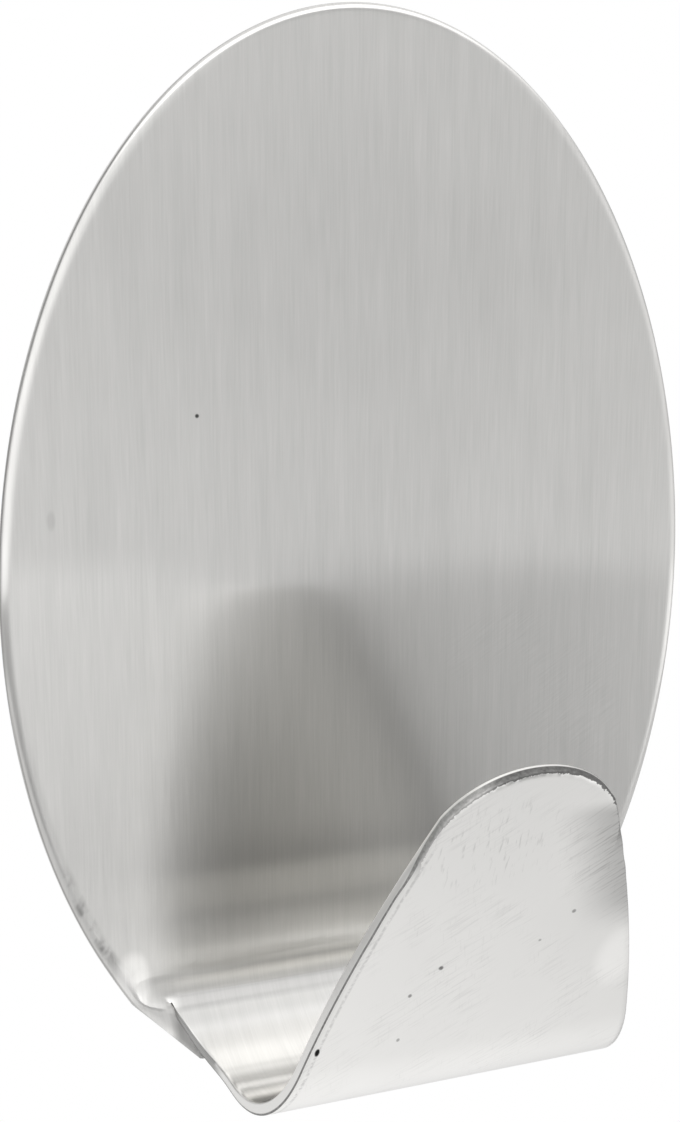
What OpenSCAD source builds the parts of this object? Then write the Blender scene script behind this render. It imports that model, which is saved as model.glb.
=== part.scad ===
// Adhesive wall hook: an oval plate of brushed stainless sheet whose lower tongue is bent forward
// and up into a hook, stuck to the wall by a double-sided foam pad with a peel-off liner.
// Frame: +Z up, the hook faces -Y, and the origin is the centre of the rear face, on the wall side.

/* [Oval plate] */
// Height of the oval plate
plate_h = 48; // [44:0.5:60]
// Width of the oval plate
plate_w = 31; // [29:0.5:42]
// Thickness of the steel sheet
sheet = 0.5; // [0.3:0.05:0.8]

/* [Hook tongue] */
// Height of the bend line above the oval's lowest point
bend_line_h = 8; // [7:0.1:10]
// Width of the tongue's flared root, on the bend line
root_w = 19.2; // [17:0.1:19.6]
// Length of sheet over which the root's flare runs out
flare_l = 5.4; // [4:0.1:7]
// Width of the tongue at its widest below the flare
tongue_w = 15.4; // [13:0.1:17]
// Radius of the tongue's round tip
tip_r = 4; // [3:0.1:5]
// Width of the relief slot cut on each side of the tongue's root
relief_w = 0.3; // [0.2:0.05:0.6]
// Width that the window would have at the oval's lowest point: its sides run in behind the tongue
window_foot_w = 11.8; // [9:0.2:14]
// Drop below the bend line at which the plate's outline leaves the oval for the straight flank of an ear
flank_drop = 1.5; // [0.8:0.1:2.2]
// Angle of the straight flank from upright, in degrees
flank_angle = 44.5; // [42:0.5:50]
// Inside radius of the upper bend, where the tongue leaves the plate
upper_bend_r = 2; // [1.5:0.1:3]
// Turn of the upper bend, in degrees
upper_bend_turn = 58; // [50:1:66]
// Straight run between the two bends
run_l = 0.85; // [0.5:0.05:3]
// Inside radius of the lower bend, where a loop hangs
lower_bend_r = 6.15; // [4.5:0.05:7.5]
// Lean of the blade away from the plate, in degrees
blade_lean = 23; // [12:0.5:32]
// Length of the flat blade from the lower bend to its tip
blade_l = 13.5; // [10:0.1:18]

/* [Adhesive pad] */
// Distance of the pad's edge inside the plate's outline
pad_inset = 2; // [1:0.1:5]
// Height of the pad's straight lower edge above the bend line
pad_bend_gap = 1; // [0.5:0.1:4]
// Thickness of the foam
foam_t = 1; // [0.5:0.1:2]
// Thickness of each adhesive film
adhesive_t = 0.1; // [0.05:0.01:0.2]
// Thickness of the release liner
liner_t = 0.1; // [0.06:0.01:0.2]
// Width of the liner's finger tab
tab_w = 9; // [6:0.5:14]
// Reach of the finger tab below the pad's lower edge
tab_l = 4.5; // [3:0.1:6]

/* [Hidden] */
$fn = 96;

// One overrun serves every cut
over = 1;
// Steps along each bend, along the blade's sides and round its tip
bend_steps = 16;
blade_steps = 8;
tip_steps = 16;
// Length by which the tongue laps the plate above the bend line, so that the two are one sheet
root_lap = sheet;

// Planes of the stack, from the wall forward
liner_y = 0;
rear_adhesive_y = liner_y - liner_t;
foam_y = rear_adhesive_y - adhesive_t;
front_adhesive_y = foam_y - foam_t;
plate_back_y = front_adhesive_y - adhesive_t;
plate_front_y = plate_back_y - sheet;

// The tongue's front face, followed from the bend line: forward reach, drop and length of sheet
bend_z = bend_line_h - plate_h / 2;
lower_bend_turn = 180 - blade_lean - upper_bend_turn;
run_start_reach = upper_bend_r * (1 - cos(upper_bend_turn));
run_start_drop = upper_bend_r * sin(upper_bend_turn);
run_start_l = upper_bend_r * upper_bend_turn * PI / 180;
run_end_reach = run_start_reach + run_l * sin(upper_bend_turn);
run_end_drop = run_start_drop + run_l * cos(upper_bend_turn);
run_end_l = run_start_l + run_l;
lower_axis_reach = run_end_reach + lower_bend_r * cos(upper_bend_turn);
lower_axis_drop = run_end_drop - lower_bend_r * sin(upper_bend_turn);
blade_start_reach = lower_axis_reach + lower_bend_r * cos(blade_lean);
blade_start_drop = lower_axis_drop + lower_bend_r * sin(blade_lean);
blade_start_l = run_end_l + lower_bend_r * lower_bend_turn * PI / 180;

// Outline of the tongue before it is bent: each side is an arc, widest where the flare has run out,
// that meets the round tip at a tangent
tip_centre_l = blade_start_l + blade_l - tip_r;
side_run = tip_centre_l - flare_l;
side_r = (side_run * side_run + tongue_w * tongue_w / 4 - tip_r * tip_r) / (tongue_w - 2 * tip_r);
tip_from = asin(side_run / (side_r - tip_r));
side_end_l = tip_centre_l + tip_r * sin(tip_from);
flare_slope = (root_w - tongue_w) / 2 / flare_l;

// Half width of the tongue at length s of sheet below the bend line
function half_w(s) =
    s <= flare_l ? tongue_w / 2 + flare_slope * (flare_l - s) :
    s <= side_end_l ? tongue_w / 2 - side_r + sqrt(side_r * side_r - pow(s - flare_l, 2)) :
    sqrt(tip_r * tip_r - pow(s - tip_centre_l, 2));

// Angle that the sheet has turned from straight down at length s
function turn(s) =
    s <= 0 ? 0 :
    s <= run_start_l ? s / upper_bend_r * 180 / PI :
    s <= run_end_l ? upper_bend_turn :
    s <= blade_start_l ? upper_bend_turn + (s - run_end_l) / lower_bend_r * 180 / PI :
    180 - blade_lean;

// Forward reach and drop of the sheet's front face at length s
function front_face(s) =
    s <= 0 ? [0, s] :
    s <= run_start_l ? [upper_bend_r * (1 - cos(turn(s))), upper_bend_r * sin(turn(s))] :
    s <= run_end_l ? [
        run_start_reach + (s - run_start_l) * sin(turn(s)),
        run_start_drop + (s - run_start_l) * cos(turn(s))
    ] :
    s <= blade_start_l ? [
        lower_axis_reach - lower_bend_r * cos(turn(s)),
        lower_axis_drop + lower_bend_r * sin(turn(s))
    ] : [
        blade_start_reach + (s - blade_start_l) * sin(turn(s)),
        blade_start_drop + (s - blade_start_l) * cos(turn(s))
    ];

// Corner of the bent sheet at length s: side is -1 or 1, depth is measured into the sheet
function corner(s, side, depth) =
    let (p = front_face(s), a = turn(s))
    [side * half_w(s), plate_front_y - p[0] + depth * cos(a), bend_z - p[1] - depth * sin(a)];

// Lengths at which the tongue has a section: its lap inside the plate, the two bends, the blade's
// sides and the round tip, which is stepped by equal angles and ends one step short of the pole
sections = concat(
    [-root_lap],
    [for (i = [0 : bend_steps]) run_start_l * i / bend_steps],
    [for (i = [0 : bend_steps]) run_end_l + (blade_start_l - run_end_l) * i / bend_steps],
    [for (i = [1 : blade_steps]) blade_start_l + (side_end_l - blade_start_l) * i / blade_steps],
    [for (i = [1 : tip_steps - 1]) tip_centre_l + tip_r * sin(tip_from + (90 - tip_from) * i / tip_steps)]
);

pad_bottom_z = bend_z + pad_bend_gap;

// Flat oval of the given width and height
module oval(w, h) {
    scale([w / 2, h / 2]) circle(r = 1);
}

// Lays a flat outline upright, facing -Y, with its back at y and thickness t towards -Y
module upright(y, t) {
    translate([0, y, 0]) rotate([90, 0, 0]) linear_extrude(t) children();
}

// Tongue bent out of the plate: one section of four corners after another, from its lap to its tip
module tongue() {
    last = len(sections) - 1;
    polyhedron(
        points = [for (s = sections) each [
            corner(s, -1, 0), corner(s, 1, 0), corner(s, 1, sheet), corner(s, -1, sheet)
        ]],
        faces = concat(
            [[for (k = [3 : -1 : 0]) k]],
            [for (i = [0 : last - 1], k = [0 : 3])
                [4 * i + k, 4 * i + (k + 1) % 4, 4 * i + 4 + (k + 1) % 4, 4 * i + 4 + k]],
            [[for (k = [0 : 3]) 4 * last + k]]
        )
    );
}

// Oval whose lowest part is cut by two straight flanks that fall inwards
module plate_outline() {
    flank_z = bend_z - flank_drop;
    flank_half_w = plate_w / 2 * sqrt(1 - pow(2 * flank_z / plate_h, 2));
    end_half_w = flank_half_w - bend_line_h * tan(flank_angle);
    intersection() {
        oval(plate_w, plate_h);
        polygon([
            [-plate_w, plate_h], [plate_w, plate_h], [plate_w, flank_z],
            [flank_half_w, flank_z], [end_half_w, flank_z - bend_line_h],
            [-end_half_w, flank_z - bend_line_h], [-flank_half_w, flank_z], [-plate_w, flank_z]
        ]);
    }
}

// Plate with the window that the tongue leaves below the bend line, between two pointed ears
module plate() {
    top_half_w = root_w / 2 + relief_w;
    foot_half_w = top_half_w - (top_half_w - window_foot_w / 2) * (bend_line_h + over) / bend_line_h;
    upright(plate_back_y, sheet)
        difference() {
            plate_outline();
            translate([0, bend_z])
                polygon([
                    [-top_half_w, 0], [top_half_w, 0],
                    [foot_half_w, -bend_line_h - over], [-foot_half_w, -bend_line_h - over]
                ]);
        }
}

// Outline shared by the pad's layers: the plate's oval drawn in, with a straight lower edge
module pad_outline() {
    intersection() {
        oval(plate_w - 2 * pad_inset, plate_h - 2 * pad_inset);
        translate([-plate_w / 2, pad_bottom_z]) square([plate_w, plate_h]);
    }
}

module steel_hook() {
    color("silver") {
        plate();
        tongue();
    }
}

module front_adhesive() {
    color("gainsboro") upright(front_adhesive_y, adhesive_t) pad_outline();
}

module foam_pad() {
    color("white") upright(foam_y, foam_t) pad_outline();
}

module rear_adhesive() {
    color("gainsboro") upright(rear_adhesive_y, adhesive_t) pad_outline();
}

// Liner of the pad's outline with a round-ended finger tab below it
module release_liner() {
    color("ivory") upright(liner_y, liner_t) {
        pad_outline();
        translate([0, pad_bottom_z - tab_l + tab_w / 2]) circle(d = tab_w);
        translate([-tab_w / 2, pad_bottom_z - tab_l + tab_w / 2]) square([tab_w, tab_l]);
    }
}

steel_hook();
front_adhesive();
foam_pad();
rear_adhesive();
release_liner();
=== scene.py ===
"""Adhesive wall hook: an oval plate of brushed stainless sheet with a tongue bent up into a hook.

The steel is worked out on its flat blank, as stamped, and then bent: x runs across the sheet and
q down it from the bend line, both in millimetres, and depth is measured into the sheet from its front.
The pad's layers use the same x and q.
"""
import math

import bpy
import numpy as np
from mathutils import Matrix, Vector
from mathutils.geometry import delaunay_2d_cdt


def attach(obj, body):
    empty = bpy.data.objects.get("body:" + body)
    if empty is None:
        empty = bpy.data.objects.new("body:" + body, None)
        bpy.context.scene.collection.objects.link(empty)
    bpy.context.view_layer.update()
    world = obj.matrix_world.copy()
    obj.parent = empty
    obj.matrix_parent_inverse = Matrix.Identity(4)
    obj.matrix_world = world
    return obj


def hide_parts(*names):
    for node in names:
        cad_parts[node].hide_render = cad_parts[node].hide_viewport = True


MM = 0.001
# Height of the picture in pixels
IMAGE_H = 1122

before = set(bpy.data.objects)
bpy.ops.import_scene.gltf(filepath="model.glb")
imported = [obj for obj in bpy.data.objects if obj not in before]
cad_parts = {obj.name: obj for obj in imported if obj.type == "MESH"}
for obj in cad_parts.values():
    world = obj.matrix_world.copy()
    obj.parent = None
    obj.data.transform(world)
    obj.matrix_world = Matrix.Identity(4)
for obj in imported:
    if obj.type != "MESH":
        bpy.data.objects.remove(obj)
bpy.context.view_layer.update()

# Sizes of the stamping, in millimetres, as in the part's source
PLATE_H, PLATE_W, SHEET = 48.0, 31.0, 0.5
PLATE_FRONT_Y, BEND_LINE_H = -1.8, 8.0
BEND_Z = BEND_LINE_H - PLATE_H / 2
UPPER_R, UPPER_TURN, RUN_L = 2.0, math.radians(58), 0.85
LOWER_R, LEAN, BLADE_L = 6.15, math.radians(23), 13.5

# The oval is drawn in by a hair, so that its rim keeps inside the solid's box
TRIM = 0.002

# Lengths of sheet from the bend line to the run, the lower bend, the blade and the tip
RUN_FROM = UPPER_R * UPPER_TURN
LOWER_FROM = RUN_FROM + RUN_L
BLADE_FROM = LOWER_FROM + LOWER_R * (math.pi - LEAN - UPPER_TURN)
TIP_Q = BLADE_FROM + BLADE_L

# Outline of the tongue: a root flare that runs out softly, sides that draw in, and a round tip
FLARE_L, FLARE_SLOPE, FLARE_SOFT = 5.4, 0.345, 0.35
SIDE_FROM, SIDE_HALF, SIDE_FALL, SIDE_POWER = 5.5, 7.72, 0.0207, 1.8
TIP_R = 3.9
TIP_CENTRE = TIP_Q - TIP_R
TIP_FROM = TIP_CENTRE + 1.0
SIDE_END = TIP_CENTRE + 2.0

# Sheared slit beside the tongue's root, and the ear of the plate outside it with its straight flank. The
# ear's tip is rounded from EAR_TIP_FROM on, and past EAR_PAST there is only the tongue.
SLIT_FROM, SLIT = 1.5, 0.05
EAR_END, EAR_TIP_FROM, EAR_PAST = 4.48, 4.26, 4.98
EAR_DRAW, EAR_DRAG, EAR_FADE, EAR_FOLLOW = 0.95, 1.5, 1.5, 0.8
FLANK_FROM, FLANK_FALL, FLANK_SOFT = 1.5, math.tan(math.radians(44.5)), 0.02

# Radius of the rolled front edge, as rows of q and of radius: round the oval, up the slit, down the tongue
RIM_ROLL = [-5, -1.8, 0, 0.9, 2, 3, EAR_END], [0.42, 0.5, 0.64, 0.58, 0.42, 0.26, 0.04]
SLIT_ROLL = [SLIT_FROM, 3, EAR_TIP_FROM], [0.02, 0.06, 0.03]
SIDE_ROLL = [SLIT_FROM, 2.5, 5, 20, 25], [0.02, 0.06, 0.14, 0.14, 0.22]
EAR_TIP_ROLL, SLIT_TOP_ROLL = 0.03, 0.02
ROLL_DEPTH_SHARE, ROLL_DEPTH_MOST = 0.7, 0.29

# Burr at the back of the cut edge, uneven round the blade's tip
BURR_FROM, BURR_RISE, BURR_INSET = 19, 4, 0.03

# Pad and liner
PAD_INSET, PAD_BOTTOM_Q, FOAM_T, LINER_T = 2.0, -1.0, 1.0, 0.1
FOAM_BACK_Y = -0.2
TAB_W, TAB_L = 9.0, 4.5
FOAM_BULGE, FOAM_ROUGH, FOAM_INSET = 0.16, 0.018, 0.04
TAB_SCORE, TAB_LIFT, LINER_ROUND = 0.3, 0.035, 0.02


def tongue_half_width(q):
    """Half width at q: SIDE_HALF less a power of the length, plus a softened ramp for the flared root,
    and never outside the circle of the tip."""
    side = SIDE_HALF - SIDE_FALL * np.clip(q - SIDE_FROM, 0, None) ** SIDE_POWER
    flare = FLARE_SLOPE * FLARE_SOFT * np.log1p(np.exp((FLARE_L - q) / FLARE_SOFT))
    tip = np.sqrt(np.clip(TIP_R**2 - np.clip(q - TIP_CENTRE, 0, None) ** 2, 0, None))
    return np.where(q > TIP_FROM, np.minimum(side + flare, tip), side + flare)


def oval_half_width(q):
    """Half width of the oval plate at q, from the ellipse's equation."""
    return PLATE_W / 2 * np.sqrt(np.clip(1 - ((BEND_Z - q) / (PLATE_H / 2)) ** 2, 0, None))


def plate_half_width(q):
    """Half width of the plate at q: the lesser of the oval and the straight flank, softened where they
    meet."""
    oval = oval_half_width(q)
    flank = oval_half_width(np.array(FLANK_FROM)) - FLANK_FALL * (q - FLANK_FROM)
    return oval - FLANK_SOFT * np.log1p(np.exp(np.clip((oval - flank) / FLANK_SOFT, -50, 50)))


def rim_roll(q):
    """Radius of the rolled front edge round the oval: wider where the bend has drawn the flank in."""
    return np.interp(q, *RIM_ROLL)


def turned(q):
    """Angle of the sheet from straight down: it grows evenly along each of the two bends."""
    upper = np.clip(q, 0, RUN_FROM) / UPPER_R
    lower = np.clip(q - LOWER_FROM, 0, BLADE_FROM - LOWER_FROM) / LOWER_R
    return upper + lower


def reach_and_drop(q):
    """Forward reach and drop of the sheet's front: arc, straight run, arc and straight blade summed."""
    a = turned(q)
    over_run = np.clip(q - RUN_FROM, 0, RUN_L)
    over_blade = np.clip(q - BLADE_FROM, 0, None)
    up = np.clip(q, 0, RUN_FROM) / UPPER_R
    reach = UPPER_R * (1 - np.cos(up)) + over_run * math.sin(UPPER_TURN)
    drop = UPPER_R * np.sin(up) + over_run * math.cos(UPPER_TURN) + np.minimum(q, 0)
    low = np.maximum(a, UPPER_TURN)
    reach += LOWER_R * (math.cos(UPPER_TURN) - np.cos(low)) + over_blade * math.sin(LEAN)
    drop += LOWER_R * (np.sin(low) - math.sin(UPPER_TURN)) - over_blade * math.cos(LEAN)
    return reach, drop


def bent(x, q, depth):
    """Place of a point of the blank after bending.

    The tongue follows its path. Beside it the plate is dragged along by a share that fades outwards as
    a bell curve. Past the slit's top the ear goes on in the direction that it had, less and less by an
    exponential, and its inner side falls back. That side also moves in behind the tongue in proportion
    to the ear's length, and the outer one lies on the flank.
    """
    half = tongue_half_width(q)
    wide = np.abs(x)
    on_tongue = (wide < half + SLIT / 2) | (q > EAR_PAST)
    past = np.where(on_tongue, 0, np.clip(q - SLIT_FROM, 0, None))
    along = np.where(on_tongue, q, np.minimum(q, SLIT_FROM))

    inner = half + SLIT
    over = np.clip((wide - inner) / np.maximum(oval_half_width(q) - inner, 0.1), 0, 1)
    top_width = oval_half_width(np.array(SLIT_FROM)) - tongue_half_width(np.array(SLIT_FROM))
    beside = np.where(past > 0, over * top_width, np.clip(wide - half, 0, None))
    share = np.where(on_tongue, 1, np.exp(-((beside / EAR_DRAG) ** 2) - past * (1 - over) / EAR_FADE))

    follow = np.exp(-past / EAR_FOLLOW)
    a = turned(along) * share * follow
    reach, drop = reach_and_drop(along)
    reach = reach + math.sin(SLIT_FROM / UPPER_R) * EAR_FOLLOW * (1 - follow)
    inner = inner - EAR_DRAW * past / (EAR_END - SLIT_FROM)
    drawn = inner + over * (plate_half_width(q) - inner)
    x = np.where(past > 0, np.sign(x) * drawn, x)

    y = PLATE_FRONT_Y - share * reach + depth * np.cos(a)
    z = BEND_Z - q - share * (drop - along) - depth * np.sin(a)
    return np.stack([x, y, z], -1)


def blank_outline():
    """Right half of the blank from the oval's top to the tongue's tip, with the roll of its edge.

    The oval runs down to the ear beside the slit, round the ear's tip, up the slit, over its closed top,
    and down the tongue's side. Each point carries the radius of the rolled front edge there.
    """
    a, b = PLATE_W / 2 - TRIM, PLATE_H / 2 - TRIM
    t = np.linspace(math.pi / 2, math.asin((BEND_Z - EAR_TIP_FROM) / b), 230)
    oval = np.stack([a * np.cos(t), BEND_Z - b * np.sin(t)], 1)
    up = np.linspace(EAR_TIP_FROM, SLIT_FROM, 30)
    slit = np.stack([tongue_half_width(up) + SLIT, up], 1)
    s = np.linspace(0, 1, 10)[1:-1, None]
    corner = np.array([[tongue_half_width(EAR_END) + SLIT, EAR_END]])
    tip = (1 - s) ** 2 * oval[-1] + 2 * s * (1 - s) * corner + s**2 * slit[0]
    s = np.linspace(0, math.pi, 8)[1:-1]
    top = tongue_half_width(np.array(SLIT_FROM))
    closed = np.stack([top + SLIT / 2 * (1 + np.cos(s)), SLIT_FROM - SLIT / 2 * np.sin(s)], 1)
    round_tip = np.linspace(math.asin((SIDE_END - TIP_CENTRE) / TIP_R), math.pi / 2, 80)
    q = np.concatenate(
        [
            np.linspace(SLIT_FROM, LOWER_FROM, 22),
            np.linspace(LOWER_FROM, BLADE_FROM, 64)[1:],
            np.linspace(BLADE_FROM, SIDE_END, 60)[1:],
            TIP_CENTRE + TIP_R * np.sin(round_tip)[1:],
        ]
    )
    side = np.stack([tongue_half_width(q), q], 1)
    side[-1, 0] = 0

    rolls = [
        rim_roll(oval[:, 1]),
        np.full(len(tip), EAR_TIP_ROLL),
        np.interp(up, *SLIT_ROLL),
        np.full(len(closed), SLIT_TOP_ROLL),
        np.interp(q, *SIDE_ROLL),
    ]
    return np.concatenate([oval, tip, slit, closed, side]), np.concatenate(rolls)


def pad_outline():
    """Right half of the pad: the oval drawn in by PAD_INSET down to its straight lower edge."""
    a, b = PLATE_W / 2 - PAD_INSET, PLATE_H / 2 - PAD_INSET
    t = np.linspace(math.pi / 2, math.asin((BEND_Z - PAD_BOTTOM_Q) / b), 150)
    oval = np.stack([a * np.cos(t), BEND_Z - b * np.sin(t)], 1)
    x = np.linspace(oval[-1, 0], 0, 40)[1:]
    return np.concatenate([oval, np.stack([x, np.full(len(x), oval[-1, 1])], 1)])


def liner_outline():
    """Right half of the liner: the pad's outline with a round-ended finger tab below its lower edge."""
    pad = pad_outline()
    keep = pad[(pad[:, 1] < PAD_BOTTOM_Q - 1e-6) | (pad[:, 0] > TAB_W / 2 + 0.1)]
    s = np.linspace(0, math.pi / 2, 30)
    centre = PAD_BOTTOM_Q + TAB_L - TAB_W / 2
    tab = np.stack([TAB_W / 2 * np.cos(s), np.maximum(centre + TAB_W / 2 * np.sin(s), PAD_BOTTOM_Q)], 1)
    tab[-1, 0] = 0
    return np.concatenate([keep, tab])


def closed_loop(half):
    """A right half and its mirror as one closed loop, with outward normals from central differences."""
    loop = np.concatenate([half, half[-2:0:-1] * [-1, 1]])
    step = np.roll(loop, -1, 0) - np.roll(loop, 1, 0)
    step /= np.linalg.norm(step, axis=1, keepdims=True)
    normal = np.stack([-step[:, 1], step[:, 0]], 1)
    area = np.sum(loop[:, 0] * np.roll(loop[:, 1], -1) - np.roll(loop[:, 0], -1) * loop[:, 1])
    return loop, normal * (-1 if area > 0 else 1)


def mirrored(values):
    """Values of a right half carried round the whole loop."""
    return np.concatenate([values, values[-2:0:-1]])


def rows_inside(inset, q_from, q_to, spacing):
    """Points on a square grid inside the oval drawn in by inset, between two lengths q."""
    a, b = PLATE_W / 2 - inset, PLATE_H / 2 - inset
    q, x = np.meshgrid(np.arange(q_from, q_to, spacing), np.arange(-a, a + 0.01, spacing), indexing="ij")
    keep = (x / a) ** 2 + ((BEND_Z - q) / b) ** 2 < 1
    return np.stack([x[keep], q[keep]], 1)


def tongue_rows():
    """Points across the tongue, in rows that follow the bends closely."""
    rows = np.concatenate(
        [
            np.linspace(-1.2, 0, 6)[:-1],
            np.linspace(0, LOWER_FROM, 20),
            np.linspace(LOWER_FROM, BLADE_FROM, 56)[1:],
            np.linspace(BLADE_FROM, TIP_Q - 0.6, 20)[1:],
        ]
    )
    q, s = np.meshgrid(rows, np.linspace(-1, 1, 25), indexing="ij")
    return np.stack([s * (tongue_half_width(q) - 0.45), q], -1).reshape(-1, 2)


def ear_rows():
    """Closer points beside the slit, where the plate is dragged along."""
    q, s = np.meshgrid(np.arange(-1.5, 3.4, 0.22), np.linspace(0, 1, 7), indexing="ij")
    inner, outer = tongue_half_width(q) + 0.22, oval_half_width(q) - rim_roll(q) - 0.25
    x = inner + s * (outer - inner)
    keep = outer - inner > 0.05
    right = np.stack([x[keep], q[keep]], 1)
    return np.concatenate([right, right * [-1, 1]])


def make_mesh(name, points, faces):
    """A smooth mesh object in metres at the origin, from points in millimetres and lists of faces."""
    mesh = bpy.data.meshes.new(name)
    mesh.from_pydata((np.asarray(points) * MM).tolist(), [], faces)
    mesh.validate()
    mesh.polygons.foreach_set("use_smooth", np.full(len(mesh.polygons), True))
    mesh.update()
    thing = bpy.data.objects.new(name, mesh)
    bpy.context.scene.collection.objects.link(thing)
    return thing


def sheet_skin(name, half, margin, inside, thickness, inset, depth, place):
    """A flat sheet as one closed skin: both faces share one triangulation of the outline, and a profile
    of its edge is carried round between them.

    inset and depth give the profile: one row for each step from front to back, one column for each
    point of the outline. place puts a point of the blank and its depth into space.
    """
    loop, normal = closed_loop(half)
    n = len(loop)
    ring = loop - normal * margin[:, None]
    verts, _, tris, origin, _, _ = delaunay_2d_cdt(
        [Vector(p) for p in np.concatenate([ring, inside])], [], [list(range(n))], 1, 1e-7
    )
    flat = np.array([tuple(v) for v in verts])
    tris = np.array(tris)
    ring_at = np.full(n, -1)
    for new, olds in enumerate(origin):
        for old in olds:
            if old < n:
                ring_at[old] = new
    corner = flat[tris]
    spin = np.cross(corner[:, 1] - corner[:, 0], corner[:, 2] - corner[:, 0])
    tris = np.where(spin[:, None] > 0, tris[:, ::-1], tris)

    edge = loop[None] - normal[None] * inset[..., None]
    m, k = len(flat), len(inset)
    x = np.concatenate([flat[:, 0], edge[..., 0].ravel(), flat[:, 0]])
    q = np.concatenate([flat[:, 1], edge[..., 1].ravel(), flat[:, 1]])
    d = np.concatenate([np.zeros(m), depth.ravel(), np.full(m, thickness)])
    bands = [ring_at] + [m + i * n + np.arange(n) for i in range(k)] + [m + k * n + ring_at]
    quads = []
    for upper, lower in zip(bands[:-1], bands[1:]):
        quads.append(np.stack([upper, np.roll(upper, -1), np.roll(lower, -1), lower], 1))
    back = tris[:, ::-1] + m + k * n
    faces = tris.tolist() + back.tolist() + np.concatenate(quads).tolist()
    thing = make_mesh(name, place(x, q, d), faces)

    mesh = thing.data
    depth_share = mesh.attributes.new("depth_share", "FLOAT", "POINT")
    depth_share.data.foreach_set("value", d / thickness)
    uv = mesh.uv_layers.new(name="blank")
    of_loop = np.zeros(len(mesh.loops), int)
    mesh.loops.foreach_get("vertex_index", of_loop)
    uv.data.foreach_set("uv", (np.stack([x, -q], 1)[of_loop] * MM).ravel())
    return thing


def unevenness(n, reach, seed):
    """Seeded random values round a loop, smoothed over reach points and scaled to a spread of 1."""
    raw = np.random.default_rng(seed).standard_normal(n)
    bell = np.exp(-((np.minimum(np.arange(n), n - np.arange(n)) / reach) ** 2))
    smooth = np.fft.ifft(np.fft.fft(raw) * np.fft.fft(bell)).real
    return smooth / smooth.std()


def steel_sheet():
    """The stamping: a rolled front edge (a quarter ellipse), a straight cut wall, and a back edge whose
    burr is uneven round the blade's tip."""
    half, roll = blank_outline()
    roll = mirrored(roll)
    q = mirrored(half[:, 1])
    angle = np.linspace(0, math.pi / 2, 7)
    share_in = np.concatenate([1 - np.sin(angle), [0, 0, 0]])
    share_down = np.concatenate([1 - np.cos(angle), [1, 1, 1]])
    wall = np.array([0] * 7 + [0.5, 0.9, 1.0])
    roll_depth = np.minimum(ROLL_DEPTH_SHARE * roll, ROLL_DEPTH_MOST)
    ragged = np.clip((q - BURR_FROM) / BURR_RISE, 0, 1) * unevenness(len(q), reach=1.8, seed=4)
    inset = share_in[:, None] * roll
    inset[-2] += 0.01 * ragged
    inset[-1] += BURR_INSET + 0.016 * ragged
    depth = share_down[:, None] * roll_depth + wall[:, None] * (SHEET - roll_depth)
    plate_rows = rows_inside(inset=0.85, q_from=-PLATE_H, q_to=-1.6, spacing=0.8)
    inside = np.concatenate([plate_rows, ear_rows(), tongue_rows()])
    margin = roll + np.minimum(0.12, roll)
    hook = sheet_skin("steel_sheet", half, margin, inside, SHEET, inset, depth, bent)
    # The texture space lies far behind the sheet, so that the brushed finish spreads across x everywhere
    hook.data.use_auto_texspace = False
    hook.data.texspace_location = (0, -1, 0)
    hook.data.texspace_size = (0.1, 0.1, 0.1)
    return hook


def foam_block():
    """The foam between its films: the pad's outline with a side that bulges as half a sine, roughened by
    the cut cells."""
    half = pad_outline()
    n = len(mirrored(half[:, 0]))
    t = np.linspace(0, 1, 11)
    rough = np.stack([unevenness(n, reach=1.2, seed=20 + i) for i in range(len(t))])
    bulge = np.sin(math.pi * t)[:, None]
    inset = FOAM_BULGE * (1 - bulge) + FOAM_ROUGH * rough * bulge + FOAM_INSET
    depth = FOAM_T * t[:, None] + np.zeros(n)

    def place(x, q, d):
        return np.stack([x, FOAM_BACK_Y - FOAM_T + d, BEND_Z - q], -1)

    inside = rows_inside(inset=PAD_INSET + 0.8, q_from=-PLATE_H, q_to=PAD_BOTTOM_Q - 0.5, spacing=1.2)
    return sheet_skin("foam_block", half, np.full(n, 0.4), inside, FOAM_T, inset, depth, place)


def liner_paper():
    """The release liner: flat on the pad, with its finger tab lifted towards the hook past a score line,
    as the square of the length beyond it."""
    half = liner_outline()
    n = len(mirrored(half[:, 0]))
    inset = LINER_ROUND * np.array([1, 0, 1])[:, None] + np.zeros(n)
    depth = LINER_T * np.array([0, 0.5, 1])[:, None] + np.zeros(n)

    def place(x, q, d):
        lift = TAB_LIFT * np.clip(q - PAD_BOTTOM_Q - TAB_SCORE, 0, None) ** 2
        return np.stack([x, d - LINER_T - lift, BEND_Z - q], -1)

    down, across = np.arange(-0.8, TAB_L - 1.5, 0.4), np.arange(-3.2, 3.3, 0.4)
    tab_q, tab_x = np.meshgrid(down, across, indexing="ij")
    tab = np.stack([tab_x.ravel(), tab_q.ravel()], 1)
    rows = rows_inside(inset=PAD_INSET + 0.6, q_from=-PLATE_H, q_to=PAD_BOTTOM_Q - 0.5, spacing=1.2)
    inside = np.concatenate([rows, tab])
    return sheet_skin("liner_paper", half, np.full(n, 0.05), inside, LINER_T, inset, depth, place)


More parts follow.
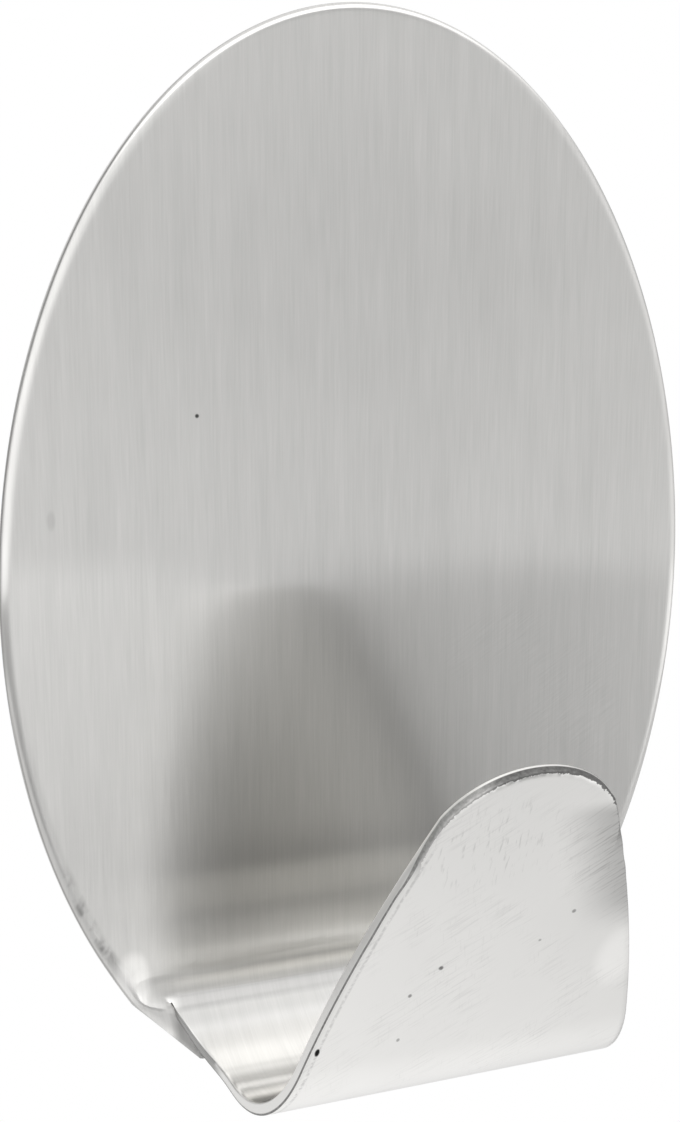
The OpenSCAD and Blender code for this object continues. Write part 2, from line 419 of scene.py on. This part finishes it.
class Wire:
    """A value in a shader: the operators add Math nodes to the finish that it belongs to."""

    def __init__(self, finish, socket):
        self.finish = finish
        self.socket = socket

    def math(self, operation, *values):
        return self.finish.node("ShaderNodeMath", {"operation": operation}, dict(enumerate(values)))

    def __add__(self, other):
        return self.math("ADD", self, other)

    def __sub__(self, other):
        return self.math("SUBTRACT", self, other)

    def __rsub__(self, other):
        return self.math("SUBTRACT", other, self)

    def __mul__(self, other):
        return self.math("MULTIPLY", self, other)

    def __truediv__(self, other):
        return self.math("DIVIDE", self, other)

    def __pow__(self, other):
        return self.math("POWER", self, other)

    __radd__ = __add__
    __rmul__ = __mul__

    def step(self, low, high):
        """Smooth step from 0 at low to 1 at high."""
        settings = {"interpolation_type": "SMOOTHSTEP"}
        inputs = {0: self, 1: low, 2: high, 3: 0.0, 4: 1.0}
        return self.finish.node("ShaderNodeMapRange", settings, inputs)

    def to(self, other, share):
        """This value blended towards another."""
        return self + (other - self) * share


class Finish:
    """A node tree that is written as expressions."""

    def __init__(self, owner):
        owner.use_nodes = True
        self.owner = owner
        self.tree = owner.node_tree
        self.tree.nodes.clear()

    def node(self, kind, settings=None, inputs=None, out=0):
        """A node with its settings and its sockets' values or links; gives the outputs that out names."""
        made = self.tree.nodes.new(kind)
        for key, value in (settings or {}).items():
            setattr(made, key, value)
        for key, value in (inputs or {}).items():
            socket = made.inputs[key]
            if isinstance(value, Wire):
                self.tree.links.new(value.socket, socket)
            else:
                socket.default_value = value
        outs = out if isinstance(out, tuple) else (out,)
        wires = [Wire(self, made.outputs[o]) for o in outs]
        return wires if isinstance(out, tuple) else wires[0]

    def blank(self):
        """Place on the sheet's own blank, in metres."""
        return self.node("ShaderNodeUVMap", {"uv_map": "blank"})

    def blank_parts(self):
        """x and q of the blank in millimetres."""
        u, v = self.node("ShaderNodeSeparateXYZ", None, {0: self.blank()}, (0, 1))
        return u * 1000.0, v * -1000.0

    def cells(self, at, across, along, turn=0.0):
        """Coordinates turned by an angle, with cells of the given size in metres across and along."""
        if turn:
            at = self.node("ShaderNodeMapping", None, {"Vector": at, "Rotation": (0, 0, turn)})
        scale = (1 / across, 1 / along, 1 / along)
        return self.node("ShaderNodeMapping", None, {"Vector": at, "Scale": scale})

    def around(self, size):
        """Object coordinates with cells of the given size in metres."""
        at = self.node("ShaderNodeTexCoord", None, None, "Object")
        return self.node("ShaderNodeMapping", None, {"Vector": at, "Scale": (1 / size,) * 3})

    def noise(self, at, detail=2.0, roughness=0.5):
        inputs = {"Vector": at, "Scale": 1.0, "Detail": detail, "Roughness": roughness}
        return self.node("ShaderNodeTexNoise", {"noise_dimensions": "3D"}, inputs)

    def tinted(self, tone, tint):
        """A grey tone times the red, green and blue of a tint."""
        return self.node("ShaderNodeCombineColor", None, {i: tone * share for i, share in enumerate(tint)})

    def bump(self, height, distance):
        """A normal from a height that is distance metres at 1."""
        inputs = {"Strength": 1.0, "Distance": distance, "Height": height}
        return self.node("ShaderNodeBump", None, inputs)

    def principled(self, **inputs):
        named = {key.replace("_", " "): value for key, value in inputs.items()}
        return self.node("ShaderNodeBsdfPrincipled", None, named)

    def surface(self, shader):
        of = "World" if isinstance(self.owner, bpy.types.World) else "Material"
        self.node("ShaderNodeOutput" + of, None, {"Surface": shader}, ())


def patch(x, q, centre, size):
    """Soft oval patch on the blank: 1 at its centre, 0 from its rim on."""
    away = ((x - centre[0]) / size[0]) ** 2.0 + ((q - centre[1]) / size[1]) ** 2.0
    return 1 - away.step(0.1, 1.0)


# Pits in the sheet: x, q, half width, half height in millimetres, depth of tone
FRONT_PITS = [(-7.37, -23.65, 0.11, 0.11, 0.9), (-13.4, -19.7, 0.22, 0.5, 0.12)]
BACK_PITS = [
    (-6.37, 14.48, 0.12, 0.26, 0.95),
    (-2.07, 17.98, 0.12, 0.13, 0.6),
    (-3.08, 16.74, 0.1, 0.12, 0.5),
    (2.92, 19.88, 0.11, 0.12, 0.45),
    (-3.15, 14.35, 0.09, 0.12, 0.4),
    (1.81, 18.6, 0.08, 0.08, 0.35),
]

# Bands of q with a painted highlight of the bends' glare: gain of tone, soft rise, soft fall
BEND_HIGHLIGHTS = [
    (0.16, (2.4, 3.0), (5.0, 5.4)),
    (0.2, (5.2, 5.6), (6.0, 6.3)),
    (0.25, (6.8, 7.2), (7.5, 8.0)),
]

# The slit as a line on the blank: its distance from the middle at the bend line, and its slope
SLIT_AT, SLIT_SLOPE = 9.58, 0.343

# Tones of the steel: brushed front, rolled back, and the sheared part of the cut edge on tongue and plate,
# the plate's darkened by a painted shade
FRONT_TONE, BACK_TONE, SHEARED_TONE, PLATE_WALL_SHADE = 0.7, 0.84, 0.95, 0.53
# Share of the thickness at which the cut edge begins to be torn, and how much sooner it does at the tip
TORN_FROM, TIP_TORN_SOONER = 0.78, 0.42
# Roughness of the brushed front's two lobes, and the share of the wider one
SHARP_LOBE, WIDE_LOBE, WIDE_SHARE = 0.15, 0.28, 0.6


def pits(x, q, table):
    """Sum of small oval marks."""
    total = 0.0
    for at_x, at_q, half_width, half_height, tone in table:
        total = total + tone * patch(x, q, (at_x, at_q), (half_width, half_height))
    return total


def band(value, rise, fall):
    """1 between two soft borders, 0 outside them."""
    return value.step(*rise) * (1 - value.step(*fall))


def painted_bend_light(x, q, wide, inside):
    """Change of the front's tone along the bends, all painted light and shade: a painted highlight where
    the flank is drawn in, a painted shade along the upper bend with a painted highlight line above it,
    painted highlight bands of glare, and painted shade inside the blade."""
    # Painted highlight where the drawn-in flank curves
    gain = 0.4 * patch(wide, q, (10.6, 0.3), (0.9, 1.5))
    # Painted shade along the upper bend, and above it a painted highlight line
    gain = gain - 0.46 * band(q, (1.1, 1.3), (1.7, 2.1)) * (1 - wide.step(8.6, 9.3))
    gain = gain + 0.18 * band(q, (0.0, 0.4), (0.7, 1.1)) * (1 - wide.step(8.0, 9.3))
    # Painted highlight bands of the bends' glare
    for share, rise, fall in BEND_HIGHLIGHTS:
        gain = gain + share * band(q, rise, fall)
    # Painted shade inside the blade, weaker at the right and towards the tip
    rightwards = x.step(-4.0, 0.0)
    inner_shade = 0.6 - 0.15 * rightwards - q.step(12.0, 15.0) * (0.18 + 0.09 * rightwards)
    return gain - inner_shade * inside


def painted_shade_and_blots(f, x, q, wide):
    """Share of the front's tone that is lost: painted shade in the slit's crease, and at the lower left a
    painted dark line along the rim with blots of dirt on it.
    """
    beside = wide + SLIT_SLOPE * q - SLIT_AT
    crease = 1 - (beside - 0.4 * (q - SLIT_FROM)).step(-0.1, 0.4)
    # Painted shade on the ear beside the slit, widening downwards
    slit_shade = beside.step(-0.06, -0.01) * crease * band(q, (1.3, 2.8), (4.6, 4.8))
    ring = ((x / (PLATE_W / 2)) ** 2.0 + ((q - BEND_Z) / (PLATE_H / 2)) ** 2.0) ** 0.5
    by_rim = band(ring, (0.955, 0.973), (0.982, 0.995)) * (1 - x.step(-11.0, -10.0))
    blot = f.noise(f.cells(f.blank(), 0.0006, 0.0011, 0.5), 2.0, 0.5).step(0.4, 0.6)
    blots = 0.4 * blot * band(q, (-5.5, -3.5), (-1.2, -0.2))
    # A painted dark line along the rim at the lower left, with blots of dirt there
    return 0.5 * slit_shade + by_rim * (0.12 * q.step(-14.0, -8.0) + blots)


def rolled_back(f, x, q, wide, cloud, grit):
    """Tone and scratches of the back as rolled: nearly plain, with pits, dashes near the tip, a painted
    shade at the right where the blade's edge curls away, deeper along the scratches, a lighter spot at the
    right, and a beaded line beside the left edge."""
    blank = f.blank()
    hatch = f.noise(f.cells(blank, 0.00009, 0.0016, -0.95), 2.0, 0.6).step(0.48, 0.7)
    cross = f.noise(f.cells(blank, 0.0001, 0.0008, 0.15), 2.0, 0.6).step(0.55, 0.75)
    dash = f.noise(f.cells(blank, 0.00014, 0.0009), 2.0, 0.6).step(0.56, 0.72)
    worn = f.noise(f.cells(blank, 0.003, 0.003), 2.0, 0.5).step(0.4, 0.62)
    dashed = patch(x, q, (-1.2, 23.9), (3.4, 2.6))
    # Painted shade where the blade's right edge curls away near its tip, deeper along the scratches
    curl_shade = (x + 0.35 * (q - 18.6)).step(3.0, 5.8) * band(q, (18.2, 20.4), (24.6, 25.4))
    # A lighter spot at the right
    lighter_spot = 0.12 * patch(x, q, (5.6, 17.0), (1.3, 2.0))
    from_side = SIDE_HALF - SIDE_FALL * (q - SIDE_FROM) ** SIDE_POWER - wide
    beaded = band(from_side, (0.2, 0.28), (0.32, 0.4)) * (1 - x.step(-0.5, 0.5))
    beaded = beaded * band(q, (6.0, 7.5), (23.5, 24.5))
    tone = BACK_TONE - 0.08 * hatch * worn - 0.06 * cross * worn + 0.07 * (cloud - 0.5)
    tone = tone - 0.14 * dash * dashed - 0.2 * beaded * grit.step(0.3, 0.6)
    tone = tone * (1 + lighter_spot - curl_shade * (0.35 + 0.2 * hatch)) - pits(x, q, BACK_PITS)
    return tone, hatch * worn


def steel_finish():
    """Front brushed along the height, back as rolled, cut edge torn and darker towards the back.

    The brushed front spreads what it mirrors across the brushing and hardly along it.
    """
    f = Finish(bpy.data.materials.new("brushed_steel"))
    depth = f.node("ShaderNodeAttribute", {"attribute_name": "depth_share"}, None, "Fac")
    x, q = f.blank_parts()
    blank = f.blank()
    wide = x.math("ABSOLUTE", x)
    grit = f.noise(f.around(0.00016), 3.0, 0.65)

    # Brushed front: fine streaks over broader ones, a cloudy unevenness, scuffs and pits
    fine = f.noise(f.cells(blank, 0.00008, 0.003), 2.0, 0.6)
    broad = f.noise(f.cells(blank, 0.0005, 0.012), 2.0, 0.5)
    cloud = f.noise(f.cells(blank, 0.005, 0.006), 3.0, 0.5)
    scuff = f.noise(f.cells(blank, 0.00007, 0.0016, 1.0), 2.0, 0.6)
    scuffed = patch(x, q, (8.0, -10.5), (7.5, 6.0)) * cloud.step(0.4, 0.6)
    front_tone = 1.0 + 0.2 * (fine - 0.5) + 0.14 * (broad - 0.5) + 0.1 * (cloud - 0.5)
    front_tone = front_tone - 0.25 * scuffed * (scuff - 0.4) - pits(x, q, FRONT_PITS)

    # Painted light and shade of the bends and the slit, blots of dirt by the rim, and painted dark lines
    # along the rim, in stretches with a painted light on the cut wall behind
    inside = q.step(7.6, 8.6) * (1 - depth.step(0.02, 0.12))
    # In a high and a low stretch of the rim: a painted light on the cut wall, and a painted dark line on
    # the outer part of the roll
    painted_lit_wall = band(q, (-37.0, -34.0), (-27.0, -23.0)) + band(q, (-13.0, -9.0), (1.0, 3.0))
    painted_rim_shade = 0.4 * painted_lit_wall * depth.step(0.2, 0.34)
    front_tone = front_tone * (1 + painted_bend_light(x, q, wide, inside))
    front_tone = FRONT_TONE * front_tone * (1 - painted_shade_and_blots(f, x, q, wide) - painted_rim_shade)

    back_tone, scratches = rolled_back(f, x, q, wide, cloud, grit)

    # Cut edge: sheared first, torn behind. Round the tip it is torn further, and darker at the right, with
    # a ragged border.
    at_tip = q.step(22.5, 24.5)
    # Where the painted light falls on the cut wall, the wall is shown sheared and not torn
    torn = (depth - (TORN_FROM - TIP_TORN_SOONER * at_tip)).step(0.0, 0.1) * (1 - painted_lit_wall)
    tip_torn = (0.2 + 0.5 * grit).to(0.02 + 0.3 * grit, x.step(-2.4, -1.2))
    torn_tone = (0.04 + 0.5 * grit).to(tip_torn, at_tip)
    of_plate = 1 - q.step(4.4, 5.4)
    # Painted shade on the plate's sheared wall, less where the painted light falls on it
    sheared_tone = SHEARED_TONE - of_plate * (PLATE_WALL_SHADE - 0.25 * painted_lit_wall)
    edge_tone = torn_tone.to(sheared_tone, 1 - torn)
    from_tip = (x**2.0 + (q - TIP_CENTRE) ** 2.0) ** 0.5
    ragged = (from_tip + 0.3 * grit).step(TIP_R + 0.06, TIP_R + 0.09) * at_tip

    on_front = 1 - (depth - 0.27 * of_plate).step(0.08, 0.2)
    on_back = depth.step(0.975, 0.998) * (1 - ragged)
    tone = edge_tone.to(front_tone, on_front).to(back_tone, on_back)
    colour = f.tinted(tone, (1.0, 0.991 - 0.008 * inside, 0.97 - 0.045 * inside))
    ridge = fine * 0.6 + broad * 0.4
    height = (grit * 2.0).to(ridge, on_front).to(0.2 * scratches, on_back)
    gloss = (0.34 + 0.16 * torn).to(0.3, on_back)

    steel = {"Base_Color": colour, "Metallic": 1.0, "Normal": f.bump(height, 0.000004)}
    sharp = f.principled(Roughness=SHARP_LOBE, Anisotropic=1.0, **steel)
    spread = f.principled(Roughness=WIDE_LOBE, Anisotropic=1.0, **steel)
    brushed = f.node("ShaderNodeMixShader", None, {0: WIDE_SHARE, 1: sharp, 2: spread})
    plain = f.principled(Roughness=gloss, **steel)
    f.surface(f.node("ShaderNodeMixShader", None, {0: on_front, 1: plain, 2: brushed}))
    return f.owner


def foam_finish():
    """White closed-cell foam: shallow round cells that show where they are cut open."""
    f = Finish(bpy.data.materials.new("closed_cell_foam"))
    cell = f.node("ShaderNodeTexVoronoi", None, {"Vector": f.around(0.00022), "Scale": 1.0})
    cloud = f.noise(f.around(0.004), 2.0, 0.5)
    tone = 0.78 + 0.14 * cell.step(0.1, 0.6) + 0.06 * (cloud - 0.5)
    colour = f.tinted(tone, (1.0, 0.995, 0.97))
    normal = f.bump(cell, 0.00005)
    f.surface(f.principled(Base_Color=colour, Roughness=0.85, Normal=normal))
    return f.owner


def adhesive_finish():
    """Tacky clear film over white foam: glossy, faintly yellow, with shallow ripples of its coating."""
    f = Finish(bpy.data.materials.new("tacky_film"))
    ripple = f.noise(f.around(0.0016), 2.0, 0.5)
    speck = f.noise(f.around(0.0003), 2.0, 0.6)
    colour = f.tinted(0.8 + 0.08 * (ripple - 0.5) + 0.06 * (speck - 0.5), (1.0, 0.99, 0.93))
    gloss = 0.16 + 0.2 * speck
    f.surface(f.principled(Base_Color=colour, Roughness=gloss, Normal=f.bump(ripple, 0.00004)))
    return f.owner


def liner_finish():
    """Silicone-coated paper: fibres a fraction of a millimetre long under a faint sheen."""
    f = Finish(bpy.data.materials.new("coated_paper"))
    fibre = f.noise(f.cells(f.blank(), 0.00006, 0.0005, 0.5), 3.0, 0.6)
    other = f.noise(f.cells(f.blank(), 0.00006, 0.0006, -0.9), 3.0, 0.6)
    cloud = f.noise(f.around(0.002), 2.0, 0.5)
    tone = 0.82 + 0.06 * (fibre - 0.5) + 0.06 * (other - 0.5) + 0.08 * (cloud - 0.5)
    colour = f.tinted(tone, (1.0, 0.95, 0.8))
    normal = f.bump(fibre + other, 0.000012)
    f.surface(f.principled(Base_Color=colour, Roughness=0.45 + 0.2 * cloud, Normal=normal))
    return f.owner


def pale_floor():
    """Floor that shows white to the camera and in reflections, where it dims with the distance from the
    hook, and is a pale matt surface to all else."""
    f = Finish(bpy.data.materials.new("pale_floor"))
    rays = "Is Camera Ray", "Is Glossy Ray", "Is Transmission Ray"
    shown, mirrored_ray, passed_ray = f.node("ShaderNodeLightPath", None, None, rays)
    at = f.node("ShaderNodeTexCoord", None, None, "Object")
    x, y = f.node("ShaderNodeSeparateXYZ", None, {0: at}, (0, 1))
    away = (x * x + y * y) ** 0.5
    level = (1.08 - 0.25 * away.step(0.015, 0.06)).to(1.0, shown)
    matt = f.node("ShaderNodeBsdfDiffuse", None, {"Color": (0.85, 0.85, 0.85, 1)})
    white = f.node("ShaderNodeEmission", None, {"Color": (1, 1, 1, 1), "Strength": level})
    as_white = shown + mirrored_ray + passed_ray
    f.surface(f.node("ShaderNodeMixShader", None, {0: as_white, 1: matt, 2: white}))
    return f.owner


def studio():
    """White surroundings to the camera.

    To all else: an even front that is lighter at the left, below it a low front with a dark gap at the
    right, a light overhead in front, and dimmer corners behind.
    """
    f = Finish(bpy.data.worlds.new("studio"))
    bpy.context.scene.world = f.owner
    way = f.node("ShaderNodeTexCoord", None, None, "Generated")
    right, back, up = f.node("ShaderNodeSeparateXYZ", None, {0: way}, (0, 1, 2))
    azimuth = right.math("ARCTAN2", right, back * -1.0)
    overhead = band(up, (0.62, 0.74), (0.9, 0.97)) * (1 - back.step(-0.2, 0.02))
    behind_above = back.step(-0.05, 0.12) * up.step(0.25, 0.4)
    left_corner = band(azimuth, (-2.85, -2.55), (-1.45, -1.2)) * (1 - up.step(0.65, 0.85))
    right_corner = band(azimuth, (1.25, 1.5), (2.5, 2.8)) * (1 - up.step(0.3, 0.6))
    behind_below = back.step(0.3, 0.6) * (1 - up.step(0.18, 0.3))
    level = 1.22 + 0.75 * overhead - 0.15 * up.step(0.9, 0.97) - 0.15 * behind_above
    level = level - 0.6 * left_corner - 0.55 * right_corner - 0.25 * behind_below
    middle = 1.42 - 0.97 * azimuth.step(-0.6, 0.5) + 0.645 * azimuth.step(0.3, 1.0)
    middle = middle - 0.4 * up + 0.12 * up.step(-0.02, 0.17)
    low = 0.5 + 0.92 * azimuth.step(-0.35, 0.2) - 1.42 * azimuth.step(0.22, 0.36)
    low = low + 0.9 * azimuth.step(0.46, 0.7) + 0.7 * azimuth.step(0.66, 0.95)
    in_front = 1 - back.step(-0.25, 0.05)
    level = level.to(middle, in_front * (1 - up.step(0.55, 0.68)))
    level = level.to(low, in_front * (1 - up.step(-0.2, -0.185)))
    level = level.math("MAXIMUM", level, 0.05)
    seen = f.node("ShaderNodeLightPath", None, None, "Is Camera Ray")
    shown = {"Color": (1, 1, 1, 1), "Strength": level.to(1.0, seen)}
    f.surface(f.node("ShaderNodeBackground", None, shown))


def camera():
    """Camera at the photograph's viewing angle, fitted to the outlines of the plate and the blade."""
    azimuth, elevation = math.radians(20.5), math.radians(10.98)
    distance, focal_px = 65.92, 1549.9
    aim = Vector((-1.205, PLATE_FRONT_Y, 1.267))
    level = math.cos(elevation)
    view = Vector((math.sin(azimuth) * level, math.cos(azimuth) * level, -math.sin(elevation)))
    lens = bpy.data.cameras.new("camera")
    lens.sensor_width = 36
    lens.lens = focal_px / IMAGE_H * lens.sensor_width
    lens.clip_start, lens.clip_end = 0.001, 100
    eye = bpy.data.objects.new("camera", lens)
    bpy.context.scene.collection.objects.link(eye)
    turn = view.to_track_quat("-Z", "Y").to_matrix().to_4x4()
    eye.matrix_world = Matrix.Translation((aim - distance * view) * MM) @ turn
    bpy.context.scene.camera = eye


def stage_floor():
    """Pale floor below the hook, with its front edge near the hook."""
    side, front, back, height = 200.0, -90.0, 250.0, -70.0
    corners = [(-side, front), (side, front), (side, back), (-side, back)]
    floor = make_mesh("floor", [(x, y, height) for x, y in corners], [(0, 1, 2, 3)])
    floor.data.materials.append(pale_floor())


def main():
    bpy.context.scene.view_settings.view_transform = "Standard"
    camera()
    studio()
    stage_floor()

    pieces = [
        (steel_sheet(), steel_finish(), "steel_hook", "hook", "steel"),
        (foam_block(), foam_finish(), "foam_pad", "hook", "foam"),
        (liner_paper(), liner_finish(), "release_liner", "liner", "liner"),
    ]
    for thing, finish, node, body, slot in pieces:
        thing.data.materials.append(finish)
        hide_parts(node)
        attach(thing, body)

    film = adhesive_finish()
    for node in ("front_adhesive", "rear_adhesive"):
        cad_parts[node].data.materials[0] = film


main()
